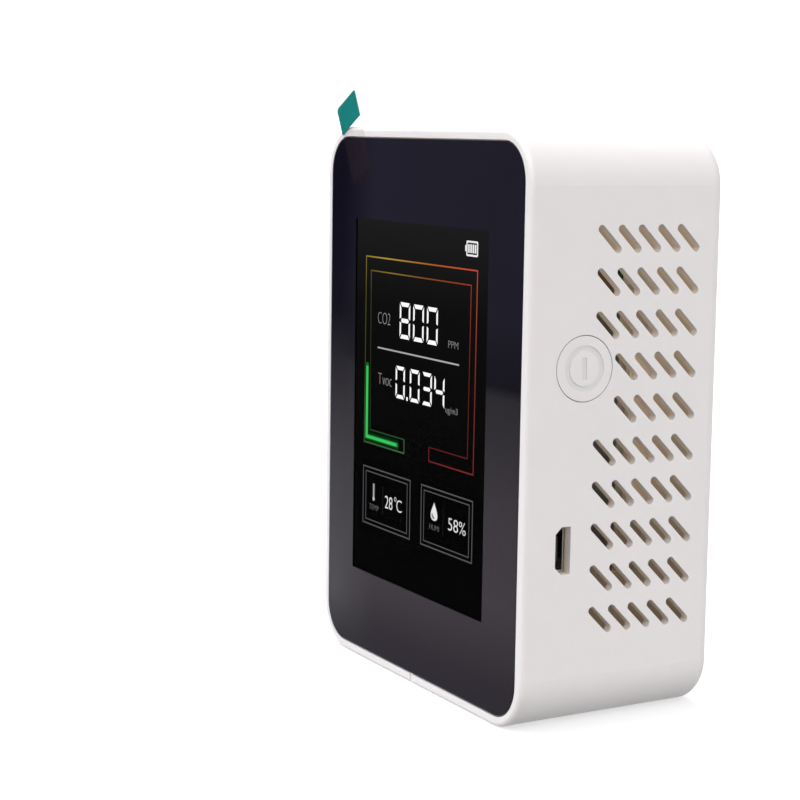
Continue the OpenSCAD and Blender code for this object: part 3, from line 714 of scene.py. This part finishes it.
def lit(name, colour, power=1.0):
    """Light from the display, a little uneven as a backlight is."""
    mat, tree, light = glowing(name, power)
    link(tree, ramp(tree, noise(tree, 9, detail=2), [(0.3, shade(colour, 0.93)), (0.7, colour)]), light)
    return mat


def gauge_light(name, share):
    """The gauge's colours: green at its lower left, over yellow at the top, to red at its lower right."""
    mat, tree, light = glowing(name)
    centre = PICTURE @ (Vector(GAUGE_MIDDLE) * MM)
    place = axes_of(tree, object_coords(tree))
    dx = math_node(tree, "SUBTRACT", place["X"], centre.x)
    dz = math_node(tree, "SUBTRACT", place["Z"], centre.z)
    turn = math_node(tree, "ARCTAN2", dx, dz)
    along = math_node(tree, "ADD", math_node(tree, "DIVIDE", turn, 2 * math.pi), 0.5)
    link(tree, ramp(tree, along, [(at, shade(colour, share)) for at, colour in GAUGE_COLOURS]), light)
    return mat


def show(name, bm, materials):
    """Puts a part of the picture on the display."""
    piece = new_object(name, bm, materials, PICTURE)
    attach(piece, "case")


SEGMENTS = {"0": "abcdef", "3": "abcdg", "4": "bcfg", "8": "abcdefg"}
SEGMENT_UPRIGHT = 0.53
SEGMENT_LEVEL_SHARE = 0.115
SEGMENT_GAP = 0.25


def segment(letter, w, h, upright, level, gap):
    """The outline of one segment of a seven-segment digit, with mitred ends."""
    m = h / 2
    if letter in "ad":
        far, near = (h, h - level) if letter == "a" else (0, level)
        return [(gap, far), (w - gap, far), (w - gap - upright, near), (gap + upright, near)]
    if letter == "g":
        return [(upright / 2 + gap, m), (upright + gap, m + level / 2), (w - upright - gap, m + level / 2),
                (w - upright / 2 - gap, m), (w - upright - gap, m - level / 2),
                (upright + gap, m - level / 2)]
    side = [(0, h - gap), (upright, h - gap - level), (upright, m + level / 2 + gap / 2), (0, m + gap)]
    if letter in "bc":
        side = [(w - x, z) for x, z in side]
    if letter in "ce":
        side = [(x, h - z) for x, z in side]
    return side


def digits(bm, text, x, z, w, h, pitch):
    """Seven-segment digits from x rightwards, with their feet at z."""
    for figure in text:
        for letter in SEGMENTS[figure]:
            outline = segment(letter, w, h, SEGMENT_UPRIGHT, SEGMENT_LEVEL_SHARE * h, SEGMENT_GAP)
            prism(bm, moved(outline, x, z), PICTURE_DEPTH)
        x += pitch


def big_figures():
    """The two large readings, the lower one with its decimal point."""
    bm = bmesh.new()
    digits(bm, "800", -6.65, 12.0, 3.9, 6.5, 5.05)
    digits(bm, "0", -7.9, 1.15, 3.5, 5.8, 5.02)
    digits(bm, "034", -2.5, 1.15, 3.6, 5.8, 4.5)
    prism(bm, rectangle(-3.75, 1.1, -3.2, 1.75), PICTURE_DEPTH)
    show("display_figures", bm, [lit("figure_light", (1.0, 1.0, 1.0), 1.15)])


def lettering(bm, text, x0, x1, z0, z1, weight=0.0, material=0):
    """Adds lettering that fills the box from (x0, z0) to (x1, z1)."""
    curve = bpy.data.curves.new("lettering", "FONT")
    curve.body = text
    curve.extrude = 0.1
    curve.offset = weight
    obj = bpy.data.objects.new("lettering", curve)
    bpy.context.scene.collection.objects.link(obj)
    mesh = bpy.data.meshes.new_from_object(obj.evaluated_get(bpy.context.evaluated_depsgraph_get()))
    bpy.data.objects.remove(obj)
    bpy.data.curves.remove(curve)
    low, high = ([pick(v.co[i] for v in mesh.vertices) for i in range(3)] for pick in (min, max))
    front, back = PICTURE_DEPTH
    part = bmesh.new()
    part.from_mesh(mesh)
    bpy.data.meshes.remove(mesh)
    bmesh.ops.remove_doubles(part, verts=part.verts, dist=1e-5)
    for v in part.verts:
        share = [(v.co[i] - low[i]) / (high[i] - low[i]) for i in range(3)]
        v.co = (x0 + share[0] * (x1 - x0), back - share[2] * (back - front), z0 + share[1] * (z1 - z0))
    joined = bpy.data.meshes.new("lettering")
    part.to_mesh(joined)
    part.free()
    before = len(bm.faces)
    bm.from_mesh(joined)
    bm.faces.ensure_lookup_table()
    for face in bm.faces[before:]:
        face.material_index = material
    bpy.data.meshes.remove(joined)


def labels():
    bm = bmesh.new()
    lights = list(LABEL_LIGHTS)
    for text, left, right, foot, top, weight, light in LABELS:
        lettering(bm, text, left, right, foot, top, weight, lights.index(light))
    show("display_labels", bm, [lit(name, colour) for name, colour in LABEL_LIGHTS.items()])


def rules_and_boxes():
    """The rule between the large readings, and the small readings' boxes with a divider in each."""
    bm = bmesh.new()
    stroke(bm, [(-15.1, 9.5), (15.0, 9.5)], 0.28, PICTURE_DEPTH, material=0)
    for boxes in READING_BOXES:
        for box, width in zip(boxes, BOX_LINES):
            stroke(bm, rectangle(*box), width, PICTURE_DEPTH, True, 1)
    for x in (-12.3, 10.4):
        stroke(bm, [(x, -20.9), (x, -15.9)], 0.16, PICTURE_DEPTH, material=2)
    show("display_rules", bm, [lit("rule_light", grey(0.46)), lit("box_light", (0.095, 0.095, 0.1)),
                               lit("divider_light", grey(0.012))])


def gauge():
    """The C-shaped gauge: one thin line round its outside and a dimmer one round its inside."""
    bm = bmesh.new()
    for i, line in enumerate((GAUGE_OUTER, GAUGE_INNER)):
        stroke(bm, line, GAUGE_LINES[i], PICTURE_DEPTH, material=i)
    show("display_gauge", bm, [gauge_light("gauge_light", 1.0), gauge_light("gauge_light_dim", 0.6)])


def bar_glow_light():
    """The bar's green, fading with the mesh's own glow value."""
    mat, tree, light = glowing("bar_glow_light")
    level = tree.nodes.new("ShaderNodeAttribute")
    level.attribute_name = "glow"
    stops = [(0.0, (0, 0, 0)), (0.5, shade(GREEN, 0.035)), (1.0, shade(GREEN, 0.3))]
    link(tree, ramp(tree, level.outputs["Fac"], stops), light)
    return mat


def rim_of(rows):
    """The vertices round the edge of a grid of rows."""
    ends = [row[-1] for row in rows[::-1]]
    return [row[0] for row in rows] + rows[-1][1:] + ends[1:] + rows[0][-2:0:-1]


def glow_strip():
    """A thin strip along the bar's line, which glows most along its middle."""
    bm = bmesh.new()
    level = bm.verts.layers.float.new("glow")
    rails = [(offset_line(GLOW_LINE, side * GLOW_WIDTH / 2, False), 1 - abs(side))
             for side in (1, 0.45, 0, -0.45, -1)]
    rims = []
    for y in GLOW_DEPTH:
        rows = []
        for points, glow in rails:
            row = [bm.verts.new((x, y, z)) for x, z in points]
            for v in row:
                v[level] = glow
            rows.append(row)
        for a, b in zip(rows, rows[1:]):
            for i in range(len(a) - 1):
                bm.faces.new((a[i], a[i + 1], b[i + 1], b[i]))
        rims.append(rim_of(rows))
    front, back = rims
    for i in range(len(front)):
        j = (i + 1) % len(front)
        bm.faces.new((front[i], front[j], back[j], back[i]))
    return bm


def level_bar():
    """The gauge's green bar, with the soft light that leaks round it."""
    bm = bmesh.new()
    prism(bm, BAR, PICTURE_DEPTH)
    show("display_level_bar", bm, [lit("bar_light", GREEN)])
    show("display_bar_glow", glow_strip(), [bar_glow_light()])


def drop_outline(cx, top, bottom, half_width, steps=40):
    """A water drop, drawn as a teardrop curve: a point at the top, hollow flanks and a round foot."""
    taper = 1.6
    widest = max(math.sin(t) * math.sin(t / 2) ** taper for t in (math.pi * i / 90 for i in range(91)))
    points = []
    for i in range(steps):
        turn = 2 * math.pi * i / steps
        wide = math.sin(turn) * abs(math.sin(turn / 2)) ** taper / widest
        points.append((cx + half_width * wide, (top + bottom) / 2 + (top - bottom) / 2 * math.cos(turn)))
    return points


def battery_icon(bm, material):
    """A rounded outline with its nub and four bars."""
    outer = moved(rounded_outline(3.9, 2.6, 0.3, 4), 18.75, 29.4)
    inner = moved(rounded_outline(3.2, 1.95, 0.12, 4), 18.75, 29.4)
    ring_prism(bm, outer, inner, PICTURE_DEPTH, material)
    prism(bm, rectangle(16.4, 28.9, 16.75, 29.9), PICTURE_DEPTH, material)
    for i in range(4):
        x = 17.38 + i * 0.74
        prism(bm, rectangle(x, 28.68, x + 0.5, 30.12), PICTURE_DEPTH, material)


def thermometer_icon(bm, stem_material, scale_material):
    """A stem with a bulb, and a scale on both sides."""
    stem = arc(-15.95, -16.0, 0.17, 0, 180, 8) + arc(-15.95, -18.65, 0.42, 115, 425, 20)
    prism(bm, stem, PICTURE_DEPTH, stem_material)
    for i in range(6):
        z = -16.0 - i * 0.38
        for x in (-16.5, -15.6):
            prism(bm, rectangle(x, z - 0.07, x + 0.2, z + 0.07), PICTURE_DEPTH, scale_material)


def drop_icon(bm, drop_material, shade_material):
    """A drop with a dark crescent just in front of it."""
    prism(bm, drop_outline(7.15, -15.45, -18.7, 1.2), PICTURE_DEPTH, drop_material)
    crescent = arc(7.1, -17.55, 0.82, 175, 285, 14) + arc(7.32, -17.4, 0.74, 275, 188, 14)
    prism(bm, crescent, (PICTURE_DEPTH[0] - 0.012, PICTURE_DEPTH[0] - 0.004), shade_material)


def icons():
    bm = bmesh.new()
    battery_icon(bm, 0)
    thermometer_icon(bm, 1, 2)
    drop_icon(bm, 0, 3)
    show("display_icons", bm, [lit("icon_light", grey(0.95)), lit("stem_light", grey(0.6)),
                               lit("scale_light", grey(0.2)), lit("icon_shade", grey(0.01))])


# ---------------------------------------------------------------- the studio

BACKDROP = 1.05
WORLD_COLOUR = (0.97, 0.985, 1.0)
WORLD_ABOVE = 0.72
WORLD_BELOW = 0.3
FLOOR_HALF = 30
FLOOR_GLOW = 0.5

# The graded card: its place and size in metres, and how it is graded upwards at its left and right.
FLAG_GAP = 2 * MM
FLAG_HALF_WIDTH = 0.4
FLAG_TOP = 0.14
FLAG_RISE = 2.0
FLAG_GRADED = 0.1
FLAG_SLANT = 1.02
FLAG_TURN = (-0.036, -0.02)
FLAG_LEFT = [(0.0, (0.3, 0.28, 0.33)), (0.08, (0.76, 0.72, 0.79)), (0.27, (0.56, 0.53, 0.6)),
             (0.47, (0.2, 0.19, 0.23)), (0.58, (0.05, 0.045, 0.09)), (0.7, (0.03, 0.025, 0.08))]
FLAG_RIGHT = [(0.0, (0.3, 0.26, 0.33)), (0.047, (0.34, 0.29, 0.36)), (0.1, (0.48, 0.42, 0.49)),
              (0.16, (0.62, 0.54, 0.61)), (0.3, (0.54, 0.48, 0.55)), (0.385, (0.42, 0.37, 0.43)),
              (0.48, (0.3, 0.27, 0.33)), (0.5, (0.085, 0.08, 0.125)), (0.54, (0.1, 0.09, 0.15)),
              (0.62, (0.145, 0.128, 0.23)), (1.0, (0.145, 0.128, 0.23))]


def make_camera():
    data = bpy.data.cameras.new("camera")
    data.lens = CAMERA_LENS
    data.sensor_width = CAMERA_SENSOR
    camera = bpy.data.objects.new("camera", data)
    camera.location = CAMERA_PLACE
    camera.rotation_euler = [math.radians(a) for a in CAMERA_TURN]
    bpy.context.scene.collection.objects.link(camera)
    bpy.context.scene.camera = camera


def white_world():
    """Soft white light, stronger from above than from below, and a white backdrop."""
    world = bpy.data.worlds.new("studio")
    bpy.context.scene.world = world
    world.use_nodes = True
    tree = world.node_tree
    paper = tree.nodes["Background"]
    paper.inputs["Color"].default_value = (1, 1, 1, 1)
    paper.inputs["Strength"].default_value = BACKDROP
    light = tree.nodes.new("ShaderNodeBackground")
    light.inputs["Color"].default_value = (*WORLD_COLOUR, 1)
    upwards = axes_of(tree, tree.nodes.new("ShaderNodeTexCoord").outputs["Generated"])["Z"]
    link(tree, spread(tree, upwards, WORLD_BELOW, WORLD_ABOVE, -0.2, 0.2), light.inputs["Strength"])
    path = tree.nodes.new("ShaderNodeLightPath")
    choose = tree.nodes.new("ShaderNodeMixShader")
    link(tree, path.outputs["Is Camera Ray"], choose.inputs["Fac"])
    link(tree, light.outputs[0], choose.inputs[1])
    link(tree, paper.outputs[0], choose.inputs[2])
    link(tree, choose.outputs[0], tree.nodes["World Output"].inputs["Surface"])


def soft_sun(name, towards, power, spread_deg, colour=(1, 1, 1)):
    """Soft light from one direction, as even over the whole floor as over the object."""
    data = bpy.data.lights.new(name, "SUN")
    data.energy = power
    data.angle = math.radians(spread_deg)
    data.color = colour
    lamp = bpy.data.objects.new(name, data)
    lamp.rotation_euler = Vector(towards).to_track_quat("-Z", "Y").to_euler()
    bpy.context.scene.collection.objects.link(lamp)
    return lamp


def make_floor():
    """A wide sheet of white paper that lights nothing above it."""
    mat, tree, bsdf = shader("floor_paper")
    paper = ramp(tree, noise(tree, 900), [(0.3, grey(0.59)), (0.7, grey(0.61))])
    link(tree, paper, bsdf.inputs["Base Color"])
    bsdf.inputs["Roughness"].default_value = 0.9
    bsdf.inputs["Specular IOR Level"].default_value = 0.0
    bsdf.inputs["Emission Color"].default_value = (1, 1, 1, 1)
    bsdf.inputs["Emission Strength"].default_value = FLOOR_GLOW
    bm = bmesh.new()
    bmesh.ops.create_grid(bm, x_segments=1, y_segments=1, size=FLOOR_HALF)
    floor = add_mesh("floor", bm, [mat])
    floor.visible_diffuse = False


def flag_card():
    """Light that is graded up the card, with a slanted change from its left to its right grading."""
    mat, tree, bsdf = shader("flag_card")
    tree.nodes.remove(bsdf)
    glow = tree.nodes.new("ShaderNodeEmission")
    place = axes_of(tree, object_coords(tree))
    height = spread(tree, place["Z"], 0, 1, 0, FLAG_GRADED)
    left, right = (ramp(tree, height, stops) for stops in (FLAG_LEFT, FLAG_RIGHT))
    slant = math_node(tree, "ADD", place["X"], math_node(tree, "MULTIPLY", place["Z"], FLAG_SLANT))
    side = spread(tree, slant, 0, 1, *FLAG_TURN)
    link(tree, mix(tree, side, left, right), glow.inputs["Color"])
    link(tree, glow.outputs[0], tree.nodes["Material Output"].inputs["Surface"])
    mat.cycles.emission_sampling = "NONE"
    return mat


def graded_flag():
    """A graded card that only gloss sees, and all that the lens mirrors, since it rises from its foot."""
    low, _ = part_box("front_lens")
    foot_y = low.y - FLAG_GAP
    top_y = foot_y - FLAG_TOP / FLAG_RISE
    bm = bmesh.new()
    corners = [(-FLAG_HALF_WIDTH, foot_y, 0), (FLAG_HALF_WIDTH, foot_y, 0),
               (FLAG_HALF_WIDTH, top_y, FLAG_TOP), (-FLAG_HALF_WIDTH, top_y, FLAG_TOP)]
    bm.faces.new([bm.verts.new(c) for c in corners])
    flag = add_mesh("flag", bm, [flag_card()])
    for what in ("visible_camera", "visible_diffuse", "visible_shadow", "visible_transmission",
                 "visible_volume_scatter"):
        setattr(flag, what, False)


def make_studio():
    white_world()
    make_floor()
    graded_flag()
    soft_sun("side_key", (-0.86, 0.2, -0.45), 1.56, 50)
    soft_sun("overhead", (0.4, 0.1, -0.9), 1.7, 50)
    fill = soft_sun("front_fill", (0.4, 0.85, -0.3), 1.75, 40, (0.96, 0.98, 1.0))
    fill.visible_glossy = False


def look():
    scene = bpy.context.scene
    scene.view_settings.view_transform = "Standard"
    scene.view_settings.look = "None"
    scene.cycles.max_bounces = 12
    scene.cycles.caustics_refractive = False
    scene.cycles.caustics_reflective = False
    scene.cycles.transmission_bounces = 8


make_camera()
FINISHED = finish_cad_nodes()
lens_panel(FINISHED)
film_sheet(FINISHED)
gauge()
level_bar()
big_figures()
labels()
rules_and_boxes()
icons()
make_studio()
look()
